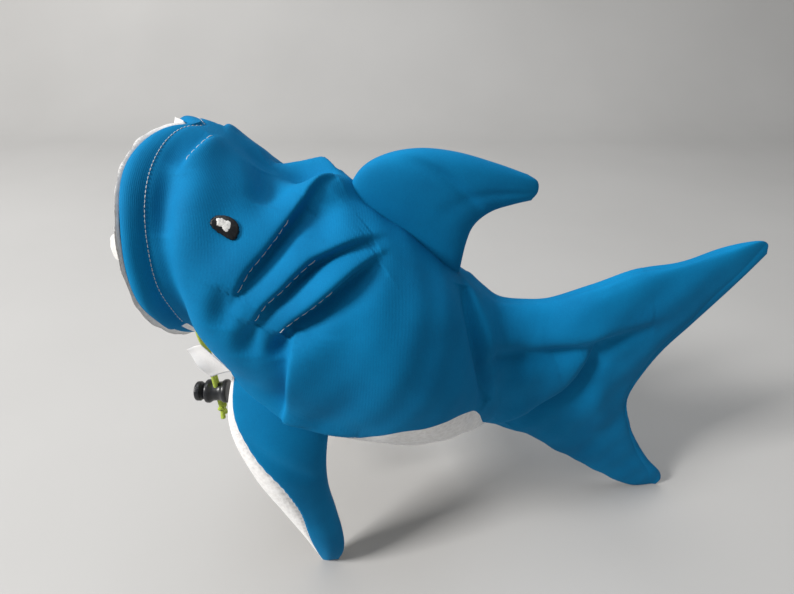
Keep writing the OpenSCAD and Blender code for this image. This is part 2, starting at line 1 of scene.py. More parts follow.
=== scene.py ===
import bmesh
import bpy
import numpy as np
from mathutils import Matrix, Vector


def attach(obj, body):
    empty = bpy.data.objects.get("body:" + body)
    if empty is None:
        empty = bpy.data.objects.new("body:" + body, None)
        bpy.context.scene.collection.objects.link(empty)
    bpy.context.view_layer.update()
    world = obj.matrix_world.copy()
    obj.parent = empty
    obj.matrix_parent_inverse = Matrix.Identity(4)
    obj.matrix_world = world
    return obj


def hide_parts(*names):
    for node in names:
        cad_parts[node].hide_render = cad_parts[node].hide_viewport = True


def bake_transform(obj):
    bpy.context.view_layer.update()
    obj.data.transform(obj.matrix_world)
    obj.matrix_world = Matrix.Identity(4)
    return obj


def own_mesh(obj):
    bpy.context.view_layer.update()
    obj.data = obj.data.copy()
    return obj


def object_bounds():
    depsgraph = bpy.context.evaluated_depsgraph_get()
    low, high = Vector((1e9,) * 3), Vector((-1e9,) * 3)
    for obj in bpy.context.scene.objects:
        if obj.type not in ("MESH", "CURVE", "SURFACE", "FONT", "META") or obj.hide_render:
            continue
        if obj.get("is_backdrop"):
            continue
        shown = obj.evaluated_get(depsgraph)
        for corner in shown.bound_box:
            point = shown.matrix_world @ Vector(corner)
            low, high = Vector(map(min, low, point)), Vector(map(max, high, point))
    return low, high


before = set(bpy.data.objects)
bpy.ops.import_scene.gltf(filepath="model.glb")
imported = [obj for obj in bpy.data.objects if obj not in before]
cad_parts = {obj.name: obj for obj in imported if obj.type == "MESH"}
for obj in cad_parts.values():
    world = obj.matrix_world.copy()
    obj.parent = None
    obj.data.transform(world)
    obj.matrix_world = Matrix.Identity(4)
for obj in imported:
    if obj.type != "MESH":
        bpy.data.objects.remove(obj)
cad_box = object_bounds()

# --- Studio -----------------------------------------------------------------------------
# A pale floor that curves up into a wall behind, soft daylight from the upper left, and a
# camera a little above the shark, on its left side.


def add_node(tree, kind, inputs=None, **settings):
    """One shader node: its settings, and its inputs as values or as the sockets that feed them."""
    node = tree.nodes.new("ShaderNode" + kind)
    for key, value in settings.items():
        setattr(node, key, value)
    for key, value in (inputs or {}).items():
        if isinstance(value, bpy.types.NodeSocket):
            tree.links.new(value, node.inputs[key])
        else:
            node.inputs[key].default_value = value
    return node


def new_material(name, roughness, sheen=0.0, specular=0.4):
    """A material with its shader's constant values set, and its node tree to add a pattern to."""
    material = bpy.data.materials.new(name)
    material.use_nodes = True
    shader = material.node_tree.nodes["Principled BSDF"]
    shader.inputs["Roughness"].default_value = roughness
    shader.inputs["Specular IOR Level"].default_value = specular
    shader.inputs["Sheen Weight"].default_value = sheen
    shader.inputs["Sheen Roughness"].default_value = 0.4
    return material, material.node_tree, shader


def noise(tree, scale, detail=2.0, roughness=0.5):
    """Smooth noise from 0 to 1 on Object coordinates; scale is its waves to a metre."""
    place = add_node(tree, "TexCoord").outputs["Object"]
    settings = {"Vector": place, "Scale": scale, "Detail": detail, "Roughness": roughness}
    return add_node(tree, "TexNoise", settings).outputs["Fac"]


def shade(tree, shader, factor, dark, light, first=0.0):
    """Base colour: dark where the factor is first or less, light where it is 1, mixed between."""
    ramp = add_node(tree, "ValToRGB", {"Fac": factor})
    ramp.color_ramp.elements[0].position = first
    ramp.color_ramp.elements[0].color = (*dark, 1)
    ramp.color_ramp.elements[1].color = (*light, 1)
    tree.links.new(ramp.outputs["Color"], shader.inputs["Base Color"])


def lengths_uv(points, around):
    """UV of a grid in metres: length along its middle column, and along each row."""
    if around:
        points = np.concatenate([points, points[:, :1]], 1)
    step_down = np.linalg.norm(np.diff(points, axis=0), axis=2)
    step_across = np.linalg.norm(np.diff(points, axis=1), axis=2)
    down = np.concatenate([np.zeros((1, points.shape[1])), np.cumsum(step_down, 0)])
    across = np.concatenate([np.zeros((points.shape[0], 1)), np.cumsum(step_across, 1)], 1)
    middle = down[:, down.shape[1] // 2][:, None] + 0 * down
    return np.stack([middle, across], 2)


def surface(name, points, material, around=False, flip=False):
    """A mesh on grids of points, one face to a cell. points is rows by columns by 3, or several
    such grids stacked; around joins the last column to the first; flip turns the faces over."""
    points = points if points.ndim == 4 else points[None]
    uv = lengths_uv(points[0], around)
    patches, rows, columns = points.shape[:3]
    cells = (np.arange(patches), np.arange(rows - 1), np.arange(columns if around else columns - 1))
    k, i, j = (a.ravel() for a in np.meshgrid(*cells, indexing="ij"))
    order = [3, 2, 1, 0] if flip else [0, 1, 2, 3]
    corner_i = np.stack([i, i, i + 1, i + 1], 1)[:, order]
    corner_j = np.stack([j, j + 1, j + 1, j], 1)[:, order]
    faces = (k[:, None] * rows + corner_i) * columns + corner_j % columns
    mesh = bpy.data.meshes.new(name)
    mesh.from_pydata(points.reshape(-1, 3).tolist(), [], faces.tolist())
    layer = mesh.uv_layers.new(name="UVMap")
    layer.data.foreach_set("uv", uv[corner_i, corner_j].astype(np.float32).ravel())
    work = bmesh.new()
    work.from_mesh(mesh)
    bmesh.ops.remove_doubles(work, verts=work.verts, dist=2e-6)
    work.to_mesh(mesh)
    work.free()
    mesh.shade_smooth()
    mesh.materials.append(material)
    piece = bpy.data.objects.new(name, mesh)
    bpy.context.scene.collection.objects.link(piece)
    return piece


def studio_floor():
    """Flat in front, a quarter turn of radius bend, then straight up: a profile carried along X."""
    bend, back, high, half = 0.5, 1.1, 2.6, 4.0
    turn = np.linspace(0, np.pi / 2, 24)
    y = np.concatenate([[-half, 0], back + bend * np.sin(turn), [back + bend]])
    z = np.concatenate([[0, 0], bend - bend * np.cos(turn), [high]])
    x = np.linspace(-half, half, 3)
    points = np.stack(np.broadcast_arrays(x[None, :], y[:, None], z[:, None]), 2)
    material, tree, shader = new_material("floor_paint", 0.55, specular=0.3)
    shade(tree, shader, noise(tree, 3.0, 3.0), (0.40, 0.395, 0.385), (0.46, 0.455, 0.445))
    return surface("studio_floor", points, material, flip=True)


studio_floor()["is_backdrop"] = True


def soft_light(name, place, aim, size, watts, colour):
    """A square area light of that size, turned from its place towards aim."""
    data = bpy.data.lights.new(name, "AREA")
    data.size, data.energy, data.color = size, watts, colour
    lamp = bpy.data.objects.new(name, data)
    bpy.context.scene.collection.objects.link(lamp)
    back = np.subtract(place, aim)
    lamp.location = place
    lamp.rotation_euler = (np.arctan2(np.hypot(back[0], back[1]), back[2]), 0,
                           np.arctan2(back[0], -back[1]))


soft_light("window", (-2.1, -0.85, 1.85), (0, 0, 0.15), 0.62, 104, (1.0, 0.98, 0.96))
soft_light("sky", (-0.2, 0.3, 1.9), (0, 0, 0.15), 1.2, 15, (0.93, 0.96, 1.0))

world = bpy.data.worlds.new("room")
world.use_nodes = True
world.node_tree.nodes["Background"].inputs["Color"].default_value = (0.86, 0.88, 0.90, 1)
world.node_tree.nodes["Background"].inputs["Strength"].default_value = 0.32
bpy.context.scene.world = world
bpy.context.scene.view_settings.view_transform = "Standard"

camera_data = bpy.data.cameras.new("camera")
camera_data.lens, camera_data.sensor_width = 21.76, 36.0
camera = bpy.data.objects.new("camera", camera_data)
bpy.context.scene.collection.objects.link(camera)
camera.location = (-0.042, -0.259, 0.351)
camera.rotation_euler = (np.radians(57.7), 0, 0)
bpy.context.scene.camera = camera

# --- Drawstring ends and their knot -----------------------------------------------------
# One round elastic string, braided in lime yarn over rubber. It runs inside the mouth's
# hem, and its two ends come out below, go through the cord lock and are knotted together.

CORD_DIAMETER = 0.003
CORD_X = -0.1645
LEFT_END = [(-0.019, 0.183), (-0.020, 0.180), (-0.021, 0.177), (-0.020, 0.169), (-0.018, 0.162),
            (-0.0171, 0.156), (-0.0171, 0.144), (-0.0171, 0.132), (-0.0171, 0.121),
            (-0.0171, 0.113), (-0.0171, 0.108)]
RIGHT_END = [(-0.010, 0.181), (-0.011, 0.177), (-0.0115, 0.174), (-0.0125, 0.168), (-0.0135, 0.162),
             (-0.0139, 0.156), (-0.0139, 0.144), (-0.0139, 0.132), (-0.0139, 0.121),
             (-0.0139, 0.113), (-0.0139, 0.108)]


def smooth_path(points, u):
    """Catmull-Rom curve through points at u from 0 to 1, the same share to each span."""
    points = np.asarray(points, float)
    spans = len(points) - 1
    i = np.minimum((u * spans).astype(int), spans - 1)
    t = (u * spans - i)[..., None]
    held = np.concatenate([[2 * points[0] - points[1]], points, [2 * points[-1] - points[-2]]])
    a, b, c, d = held[i], held[i + 1], held[i + 2], held[i + 3]
    return 0.5 * (2 * b + (c - a) * t + (2 * a - 5 * b + 4 * c - d) * t**2
                  + (3 * b - a - 3 * c + d) * t**3)


def tube(path, radius, sides, up):
    """Rings of points about a path, closed at both ends; up is never along the path. Paths may
    be stacked in front, and the radius may change along them."""
    tangent = np.gradient(path, axis=-2)
    tangent /= np.linalg.norm(tangent, axis=-1, keepdims=True)
    side = np.cross(tangent, up)
    side /= np.linalg.norm(side, axis=-1, keepdims=True)
    over = np.cross(side, tangent)
    radius = np.broadcast_to(radius, path.shape[:-1])
    ends = [(0, 0)] * (path.ndim - 2) + [(1, 1)]
    radius = np.pad(radius, ends)[..., None, None]
    path, side, over = (np.pad(a, ends + [(0, 0)], mode="edge")[..., None, :]
                        for a in (path, side, over))
    q = np.linspace(0, 2 * np.pi, sides, endpoint=False)[:, None]
    return path + radius * (np.cos(q) * side + np.sin(q) * over)


def maths(tree, operation, *values):
    """One step of arithmetic on numbers or sockets, as a shader node, and its result."""
    return add_node(tree, "Math", dict(enumerate(values)), operation=operation).outputs[0]


def uv_lengths(tree):
    """The piece's UV as two lengths in metres: down its rows, and across them."""
    uv = add_node(tree, "SeparateXYZ", {"Vector": add_node(tree, "UVMap").outputs["UV"]})
    return uv.outputs["X"], uv.outputs["Y"]


def ripple(tree, length, rate, shift=0.0):
    """A sine wave: the sine of rate times the length, plus shift."""
    return maths(tree, "SINE", maths(tree, "MULTIPLY_ADD", length, rate, shift))


def relief(tree, shader, height, distance, strength=1.0):
    """A bump as high as height times distance, in metres."""
    bump = add_node(tree, "Bump", {"Height": height, "Distance": distance, "Strength": strength})
    tree.links.new(bump.outputs["Normal"], shader.inputs["Normal"])


def elastic_braid():
    """Two sets of slanted strands along UV: the higher of two sine waves, one each way round; the
    colour darkens with them between strands as painted shade.
    """
    material, tree, shader = new_material("lime_braid", 0.6, sheen=0.2)
    down, across = uv_lengths(tree)
    slants = [maths(tree, "MULTIPLY_ADD", across, turn * 1.2, down) for turn in (1, -1)]
    strands_and_groove_shade = maths(tree, "MAXIMUM", *(ripple(tree, slant, 5200.0) for slant in slants))
    # painted shade: the lime darkens in the grooves between the strands
    shade(tree, shader, strands_and_groove_shade, (0.30, 0.42, 0.02), (0.62, 0.78, 0.07))
    relief(tree, shader, strands_and_groove_shade, 0.0002)
    return material


LIME = elastic_braid()


def cord_end(name, route, node):
    """The route's points as one smooth tube of the cord's diameter."""
    points = [(CORD_X, y, z) for y, z in route]
    path = smooth_path(points, np.linspace(0, 1, 61))
    rings = tube(path, CORD_DIAMETER / 2, 14, (1.0, 0, 0))
    piece = surface(name, rings, LIME, around=True, flip=True)
    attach(piece, "trunk")
    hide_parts(node)
    return piece, path


def knot():
    """An overhand knot: a trefoil curve pulled tight, with both cut tails hanging below."""
    q = np.linspace(0, 2 * np.pi, 97)[:-1]
    middle = np.array([CORD_X, -0.0155, 0.106])
    curl = np.stack([np.sin(3 * q) * 0.0011,
                     (np.sin(q) + 1.7 * np.sin(2 * q)) * 0.00105,
                     (np.cos(q) - 1.7 * np.cos(2 * q)) * 0.00095], 1)
    loop = np.roll(middle + curl, 20, 0)
    tail = np.linspace(0, 1, 12)[:, None]
    strand = tube(loop, CORD_DIAMETER / 2 * 0.95, 12, (1.0, 0.13, 0.21))
    piece = surface("drawstring_knot_tied", strand, LIME, True, True)
    for side in (-1, 1):
        root = middle + np.array([0, side * 0.0012, -0.002])
        hang = root + tail * np.array([0, side * 0.0016, -0.006])
        rings = tube(hang, CORD_DIAMETER / 2 * (1 + 0.15 * tail[:, 0]), 12, (1.0, 0, 0))
        end = surface(f"tail_{side}", rings, LIME, True, True)
        joined = bmesh.new()
        joined.from_mesh(piece.data)
        joined.from_mesh(end.data)
        joined.to_mesh(piece.data)
        joined.free()
        bpy.data.objects.remove(end)
    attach(piece, "trunk")
    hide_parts("drawstring_knot")
    return piece


left_cord, left_path = cord_end("drawstring_left", LEFT_END, "drawstring_left_end")
right_cord, right_path = cord_end("drawstring_right", RIGHT_END, "drawstring_right_end")
tied = knot()

# --- Cord lock --------------------------------------------------------------------------
# A moulded black barrel with a waist for the fingers, a push plunger in its open end and a steel
# spring behind the plunger. It pinches the two cords, which run through both.

LOCK = np.array([-0.1645, -0.0155, 0.121])
BARREL_R, BARREL_L = 0.008, 0.015
PLUNGER_R, PLUNGER_OUT, HEAD_L = 0.0056, 0.0032, 0.004


def turned(profile, sides, ribs=0, rib_depth=0.0):
    """A profile of (place along X, radius) turned about an axis along X through the lock; ribs
    let the radius ripple round it, where the profile is widest."""
    profile = np.asarray(profile, float)
    q = np.linspace(0, 2 * np.pi, sides, endpoint=False)
    wide = profile[:, 1].max()
    share = np.clip((profile[:, 1] - 0.93 * wide) / (0.07 * wide), 0, 1)[:, None]
    radius = profile[:, 1:2] - rib_depth * share * (0.5 + 0.5 * np.cos(ribs * q)) ** 2
    return LOCK + np.stack([profile[:, :1] + 0 * radius, radius * np.cos(q), radius * np.sin(q)], 2)


def moulded_plastic():
    """Black plastic: fine spark-eroded grain in the bump, and a faint dusty mottle by noise in the
    colour all over.
    """
    material, tree, shader = new_material("black_moulded", 0.34, specular=0.5)
    shade(tree, shader, noise(tree, 220.0, 4.0), (0.006, 0.007, 0.009), (0.018, 0.019, 0.022))
    relief(tree, shader, noise(tree, 2600.0), 0.00004)
    return material


BLACK = moulded_plastic()
round_off = np.linspace(0, np.pi / 2, 7)
edge_r = 0.0012
barrel_front = np.stack([-BARREL_L / 2 + edge_r - edge_r * np.cos(round_off),
                         BARREL_R - edge_r + edge_r * np.sin(round_off)], 1)
barrel_back = np.stack([BARREL_L / 2 - edge_r + edge_r * np.sin(round_off),
                        BARREL_R - edge_r + edge_r * np.cos(round_off)], 1)
bore_end, bore_r = BARREL_L / 2 - 0.0016, PLUNGER_R + 0.00012
bore = [(bore_end, 0.0), (bore_end, bore_r), (-BARREL_L / 2 + 0.0004, bore_r),
        (-BARREL_L / 2, PLUNGER_R + 0.0005)]
grip_u = np.linspace(-1, 1, 21)
grip = np.stack([grip_u * (BARREL_L / 2 - 2 * edge_r),
                 BARREL_R - 0.0016 * (1 - grip_u**4) ** 2], 1)
barrel_rings = turned(np.concatenate([bore, barrel_front, grip, barrel_back, [(BARREL_L / 2, 0.0)]]),
                      96)
barrel = surface("lock_barrel_moulded", barrel_rings, BLACK, True)
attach(barrel, "cord_lock")
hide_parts("lock_barrel")

head_start = -BARREL_L / 2 - PLUNGER_OUT
head_r = PLUNGER_R + 0.001
dome = np.stack([head_start - HEAD_L + 0.0013 * (1 - np.cos(round_off)),
                 head_r * 0.72 + head_r * 0.28 * np.sin(round_off)], 1)
plunger_profile = np.concatenate([
    [(head_start - HEAD_L - 0.0003, 0.0), (head_start - HEAD_L - 0.0002, head_r * 0.45)], dome,
    [(head_start - 0.0006, head_r), (head_start, head_r - 0.0006), (head_start, PLUNGER_R),
     (0.0004, PLUNGER_R), (0.0008, PLUNGER_R - 0.0006), (0.0008, 0.0)]])
plunger_rings = turned(plunger_profile, 72, ribs=24, rib_depth=0.0002)
plunger = surface("lock_plunger_moulded", plunger_rings, BLACK, True)
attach(plunger, "plunger")
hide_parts("lock_plunger")

SPRING_TURNS, SPRING_R, WIRE_R = 4, 0.0042, 0.00035
spring_u = np.linspace(0, 1, 180)
spring_path = LOCK + np.stack([0.0013 + 0.0043 * spring_u,
                               SPRING_R * np.cos(2 * np.pi * SPRING_TURNS * spring_u),
                               SPRING_R * np.sin(2 * np.pi * SPRING_TURNS * spring_u)], 1)
spring_rings = tube(spring_path, WIRE_R, 8, (1.0, 0, 0))
steel, steel_tree, steel_shader = new_material("spring_wire", 0.3, specular=0.5)
steel_shader.inputs["Metallic"].default_value = 1.0
shade(steel_tree, steel_shader, noise(steel_tree, 900.0), (0.42, 0.42, 0.43), (0.62, 0.62, 0.63))
spring = surface("lock_spring_coiled", spring_rings, steel, True, True)
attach(spring, "cord_lock")
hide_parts("lock_spring")
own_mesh(spring)

# --- Side panels ------------------------------------------------------------------------
# Two mirrored pieces of thick teal knit, each from the mouth's rolled edge to the tail's
# trailing edge, sewn together along the back and to the belly below. Three gill tucks,
# a nostril tuck and the pull of the filling fold them. Lengths below are millimetres.

MM = 0.001
TRUNK = np.array([[-158.35, 296, 176, 60], [-138, 290, 152, 68], [-119, 277, 130, 72],
                  [-98, 265, 110, 74], [-70, 259, 95, 75], [-42, 242, 89, 74.5],
                  [-14, 217, 87, 64], [8, 198, 84, 44], [27, 184, 78, 22]])
BELLY_SEAM = np.array([[-158, 216], [-90, 216], [-70, 213], [-55, 206], [-42, 199], [-28, 195],
                       [-14, 189], [2, 187], [12, 200], [20, 235], [27, 270]])
HEM_MID, HEM_HALF, ROLL_R, RIM_Z, RIM_R = -164.5, 6.0, 4.0, 236.0, 60.0
STITCH_X = -158.6
EDGE_X = -170.0
TAIL_FRONT = 27.0
ROLL_ROWS, TRUNK_ROWS, TAIL_ROWS, COLUMNS = 9, 236, 149, 168
TRUNK_X = np.linspace(HEM_MID, TAIL_FRONT, TRUNK_ROWS)
TAIL_EDGE = [(177, 0), (179, 7), (175, 17), (163, 30), (150, 48), (138, 68), (130, 86), (127.5, 102),
             (131, 122), (140, 145), (152, 166), (166, 190), (181.5, 219)]
TAIL_BELOW = [(27, 78), (60, 65), (88, 45), (115, 26), (142, 7), (163, 0), (177, 0)]
TAIL_ABOVE = [(27, 184), (58, 184), (84, 194), (108, 205), (132, 213), (155, 221), (173, 228),
              (180, 226), (181.5, 219)]


def from_table(table, x):
    """Cubic through a table's rows at x, its first column; slopes are those between neighbours."""
    last = len(table) - 1
    row = np.arange(last + 1)
    before, after = table[np.maximum(row - 1, 0)], table[np.minimum(row + 1, last)]
    slope = (after - before) / (after[:, :1] - before[:, :1])
    i = np.clip(np.searchsorted(table[:, 0], x, side="right") - 1, 0, last - 1)
    a, b = table[i], table[i + 1]
    w = (b - a)[..., :1]
    s = (x[..., None] - a[..., :1]) / w
    return (a * (2 * s**3 - 3 * s**2 + 1) + slope[i] * w * (s**3 - 2 * s**2 + s)
            + b * (3 * s**2 - 2 * s**3) + slope[i + 1] * w * (s**3 - s**2))


def ease(t):
    """0 below 0, 1 above 1, and a smooth step between."""
    t = np.clip(t, 0, 1)
    return t * t * (3 - 2 * t)


def rim_shift(angle):
    """How far back the mouth's edge lies: pulled back where the back seam meets it, less below."""
    away = np.abs((angle + 90) % 360 - 180)
    return (18 * np.exp(-(np.sqrt(away**2 + 9) - 3) / 16)
            + 7 * ease((away - 85) / 80))


def rim_flare(x, angle):
    """The mouth's edge turns outwards like a bell, except where the back seam ties it down."""
    away = np.abs((angle + 90) % 360 - 180)
    return 3.4 * np.exp(-((x - EDGE_X) / 7.5) ** 2) * ease((away - 8) / 45)


def trunk_skin(x, angle, out=0.0):
    """Ellipse of the trunk at x: angle 0 is the right side, 90 the back, 180 the left side. The
    front is moved back by rim_shift, fading out over 60 mm."""
    row = from_table(TRUNK, np.maximum(x, TRUNK[0, 0]))
    high, mid = (row[..., 1] - row[..., 2]) / 2, (row[..., 1] + row[..., 2]) / 2
    a = np.radians(angle)
    back = rim_shift(angle) * ease((-110 - x) / 60)
    out = out + rim_flare(x, angle)
    return np.stack(np.broadcast_arrays(x + back, (row[..., 3] + out) * np.cos(a),
                                        mid + (high + out) * np.sin(a)), -1)


def between_edges(root, tip, lead, trail, u, v):
    """Surface between four edge curves: root and tip run with u, lead and trail with v."""
    u3, w3 = u[..., None], (v + 0.6 * v * v * (1 - v))[..., None]
    corner = lambda points, k: np.asarray(points, float)[k]
    flat = ((1 - w3) * ((1 - u3) * corner(root, 0) + u3 * corner(root, -1))
            + w3 * ((1 - u3) * corner(tip, 0) + u3 * corner(tip, -1)))
    return ((1 - w3) * smooth_path(root, u) + w3 * smooth_path(tip, u)
            + (1 - u3) * smooth_path(lead, v) + u3 * smooth_path(trail, v) - flat)


def tail_skin(v, angle):
    """The tail's left face: an edge-to-edge patch in the middle plane, and a half thickness that
    is an ellipse across, full at the trunk and thin at the trailing edge."""
    u = (1 + np.sin(np.radians(angle))) / 2
    root = [(TAIL_FRONT, 78), (TAIL_FRONT, 131), (TAIL_FRONT, 184)]
    flat = between_edges(root, TAIL_EDGE, TAIL_BELOW, TAIL_ABOVE, u, v)
    full = 22 - 2 * ease(v / 0.2)
    fade = 1 - (np.maximum(0, v - 0.1) / 0.9) ** 0.9
    across = np.sqrt(np.clip(4 * u * (1 - u), 0, 1)) ** (1 - 0.45 * ease(v / 0.3))
    half = np.maximum(full * fade, 3.2) * across * np.sqrt(1 - v**14)
    return np.stack([flat[..., 0], -half, flat[..., 1]], -1)


def facing(points):
    """Unit normals of a grid, outwards on the left side."""
    across = np.cross(np.gradient(points, axis=1), np.gradient(points, axis=0))
    return across / np.maximum(np.linalg.norm(across, axis=2, keepdims=True), 1e-9)


def beside(points, normals, path, reach):
    """For each point: distance across the nearest place of a path, positive on its right when
    it runs down the left side; how far along that is, from 0 to 1; and a fade past its ends."""
    line = smooth_path(path, np.linspace(0, 1, 49))
    tangent = np.gradient(line, axis=0)
    tangent /= np.linalg.norm(tangent, axis=1, keepdims=True)
    flat = points.reshape(-1, 3)
    near = np.argmin(((flat[:, None, :] - line[None]) ** 2).sum(2), 1).reshape(points.shape[:2])
    gap = points - line[near]
    side = np.cross(normals, tangent[near])
    past = np.einsum("ijk,ijk->ij", gap, tangent[near])
    across = np.einsum("ijk,ijk->ij", gap, side)
    off = np.linalg.norm(gap, axis=2)
    fade = np.exp(-(past / reach) ** 2) * (off < 60)
    return across, near / 48.0, fade, side


def dent(points, normals, path, width, height):
    """A soft ridge, or a valley where height is below 0: a bell across the path, fading at its ends."""
    across, s, fade, _ = beside(points, normals, path, 0.9 * width)
    swell = 0.25 + 0.75 * np.sin(np.pi * s) ** 0.7
    return (height * swell * fade * np.exp(-(across / width) ** 2))[..., None] * normals


def tuck(points, normals, path, lift, sink, wide, narrow, lean, sharp):
    """A sewn tuck: the cloth swells by lift to a ridge on the path's left, drops steeply over
    sharp, and rises slowly out of a valley of depth sink on its right. lean lets the ridge
    hang over the valley."""
    across, s, fade, side = beside(points, normals, path, 7.0)
    swell = (0.15 + 0.85 * np.sin(np.pi * np.clip(s, 0, 1)) ** 0.6) * fade
    ridge = 1 / (1 + np.exp(np.clip(across / sharp, -30, 30)))
    height = (lift * ridge * np.exp(-(across / wide) ** 2)
              - sink * (1 - ridge) * np.exp(-(across / narrow) ** 2))
    push = lean * ridge * np.exp(-(across / (0.45 * wide)) ** 2)
    return (swell * height)[..., None] * normals + (swell * push)[..., None] * side


GILL_PATHS = [[(-77, -4, 263), (-85, -14, 263), (-92, -27, 260), (-97, -37, 256), (-102, -46, 251),
               (-107, -54, 246), (-114, -61, 239), (-120, -66, 229)],
              [(-54, -31, 244), (-70, -43, 244), (-83, -50, 241), (-90, -55, 237), (-98, -61, 231),
               (-107, -66, 224), (-113, -69, 214)],
              [(-52, -40, 238), (-64, -50, 235), (-75, -58, 229), (-85, -64, 223), (-94, -68, 217),
               (-101, -71, 208)]]
GILL_THREADS = [path[k:] for path, k in zip(GILL_PATHS, (3, 2, 2))]
NOSTRIL_PATH = [(-136, -10, 289), (-139, -19, 287), (-142, -28, 285), (-144, -34, 282)]
# each tuck's path, lift, sink, wide, narrow, lean and sharp
TUCKS = [
    (GILL_PATHS[0], 4.5, 6.5, 12, 9, 3.0, 0.8),
    (GILL_PATHS[1], 4.5, 6.5, 12, 9, 3.0, 0.8),
    (GILL_PATHS[2], 6.0, 8.5, 13, 12, 4.5, 0.8),
    (NOSTRIL_PATH[::-1], 1.8, 3.4, 8, 7, 0.6, 0.8),
    # the pleat above the front fin, whose rear side laps over its front side
    ([(-104, -66, 152), (-99, -71, 170), (-96, -73, 190), (-93, -72, 212)],
     4.5, 4.5, 22, 12, 3.0, 0.8),
    # the waist before the tail, and the creases that run back from it
    ([(15, -26, 128), (14, -30, 145), (12, -32, 162), (9, -30, 179), (4, -22, 193), (0, -10, 202)],
     2.0, 11.0, 10, 11, 1.0, 1.6),
    ([(124, -6, 172), (92, -10, 162), (60, -14, 158), (34, -20, 160), (14, -28, 166)],
     4.0, 6.0, 16, 9, 1.0, 2.5),
    ([(88, -9, 158), (83, -11, 142), (72, -13, 124), (54, -16, 110), (33, -12, 92)],
     5.0, 8.5, 18, 13, 2.0, 2.0)]
# each swell's path, width and height, or a hollow's where the height is below 0
SWELLS = [
    # the nape's fold, and the hollows before it, behind it and below the nostril
    ([(-58, 10, 257), (-70, 2, 262), (-81, -10, 264), (-90, -24, 261)], 9, 10.0),
    ([(-114, -6, 273), (-107, -20, 266), (-108, -33, 261)], 9, -5.0),
    ([(-74, -16, 260), (-80, -30, 255), (-82, -42, 247)], 9, -4.0),
    ([(-146, -36, 280), (-149, -46, 268), (-150, -54, 254)], 6, -3.5),
    # the hollow at each gill's lower end
    ([(-121, -66, 234), (-125, -68, 224), (-127, -67, 214)], 6, -4.0),
    ([(-111, -69, 218), (-115, -71, 207), (-116, -71, 197)], 6, -4.5),
    ([(-99, -71, 212), (-101, -73, 203), (-100, -73, 195)], 7, -4.0),
    # the lower edge over the front fin's root, and two soft folds of the tail
    ([(-134, -58, 174), (-118, -63, 160), (-100, -66, 150), (-84, -66, 141), (-66, -64, 134)],
     8, 7.0),
    ([(24, -22, 128), (44, -18, 134), (64, -16, 141)], 13, 2.5),
    ([(96, -8, 140), (98, -8, 110), (108, -7, 76)], 12, 3.0)]


def hem_channel(x, angle):
    """The hem swells, dips at its stitching, and the skin sinks behind it before the cheek."""
    left = 0.45 * ease((angle - 95) / 30) + 0.55 * ease((angle - 130) / 50)
    left = left * (1 - 0.7 * ease((angle - 198) / 18))
    behind = x - STITCH_X
    return (0.6 * np.exp(-((x + 165) / 4) ** 2) - 0.5 * np.exp(-(behind / 1.8) ** 2)
            - 5.0 * left * np.exp(-((behind - 6.5) / 6) ** 2)
            + 1.6 * left * np.exp(-((behind - 28) / 15) ** 2))


def side_grid():
    """The left side panel: rows run back from the rolled edge, columns from back seam to belly."""
    roll = np.radians(np.linspace(0, 80, ROLL_ROWS))
    x = np.concatenate([HEM_MID - HEM_HALF * np.cos(roll), TRUNK_X])
    out = np.concatenate([ROLL_R * (np.sin(roll) - 1), np.zeros(TRUNK_ROWS)])[:, None]
    t = np.linspace(0, 1, COLUMNS)[None, :]
    seam = from_table(BELLY_SEAM, np.clip(x, -158, TAIL_FRONT))[:, 1:]
    angle = 90 + t * (np.minimum(seam, 270) - 90)
    trunk = trunk_skin(x[:, None] + 0 * angle, angle, out)
    v = np.linspace(0, 1, TAIL_ROWS + 1)[1:, None]
    tail = tail_skin(v + 0 * t, 90 + 180 * t + 0 * v)
    points = np.concatenate([trunk, tail])
    # the bend where the trunk meets the tail is eased, as stretched cloth would
    near = np.exp(-((points[1:-1, :, :1] - TAIL_FRONT) / 8) ** 2)
    for _ in range(90):
        points[1:-1] += 0.5 * near * (0.5 * points[:-2] - points[1:-1] + 0.5 * points[2:])
    normals = facing(points)
    channel = np.pad(hem_channel(x[:, None], angle), [(0, TAIL_ROWS), (0, 0)])
    shift = channel[..., None] * normals
    for path, *sizes in TUCKS:
        shift += tuck(points, normals, path, *sizes)
    for path, width, height in SWELLS:
        shift += dent(points, normals, path, width, height)
    # the filling is a little uneven everywhere
    wave = lambda k, p: np.sin(points @ np.array(k) + p)
    shift += (0.45 * wave((0.09, 0.05, 0.11), 1.0) + 0.35 * wave((-0.13, 0.08, 0.06), 2.6)
              + 0.22 * wave((0.21, 0.13, -0.17), 0.4))[..., None] * normals
    # nothing moves on the tail's trailing edge, and the back seam stays in the middle plane
    rows = len(points)
    calm = np.minimum(1, (rows - 1 - np.arange(rows)) / 8)[:, None, None]
    points = points + shift * calm
    spread = 8 - 5.5 * ease((points[..., 0] - 5) / 30)
    depth = 3.4 - 1.8 * ease((points[..., 0] + 90) / 40) - 0.6 * ease((points[..., 0] - 20) / 60)
    above = points[..., 2] > 0.5 * (points[:, :1, 2] + points[:, -1:, 2])
    points[..., 2] -= above * depth * np.exp(-(points[..., 1] / spread) ** 2)
    points[:, 0, 1] = 0
    points[ROLL_ROWS + TRUNK_ROWS + 1:, -1, 1] = 0
    return points * MM


left_grid = side_grid()
mirror = np.array([1.0, -1.0, 1.0])
right_grid = left_grid * mirror
# the head leans to the left, so its right side stands up over the back seam
head_x, head_y = right_grid[..., 0] / MM, right_grid[..., 1] / MM
right_grid[..., 2] += 5.5 * MM * (np.exp(-((head_x + 100) / 18) ** 2 - ((head_y - 13) / 8) ** 2)
                                  * ease(head_y / 6) * (right_grid[..., 2] > 0.2))


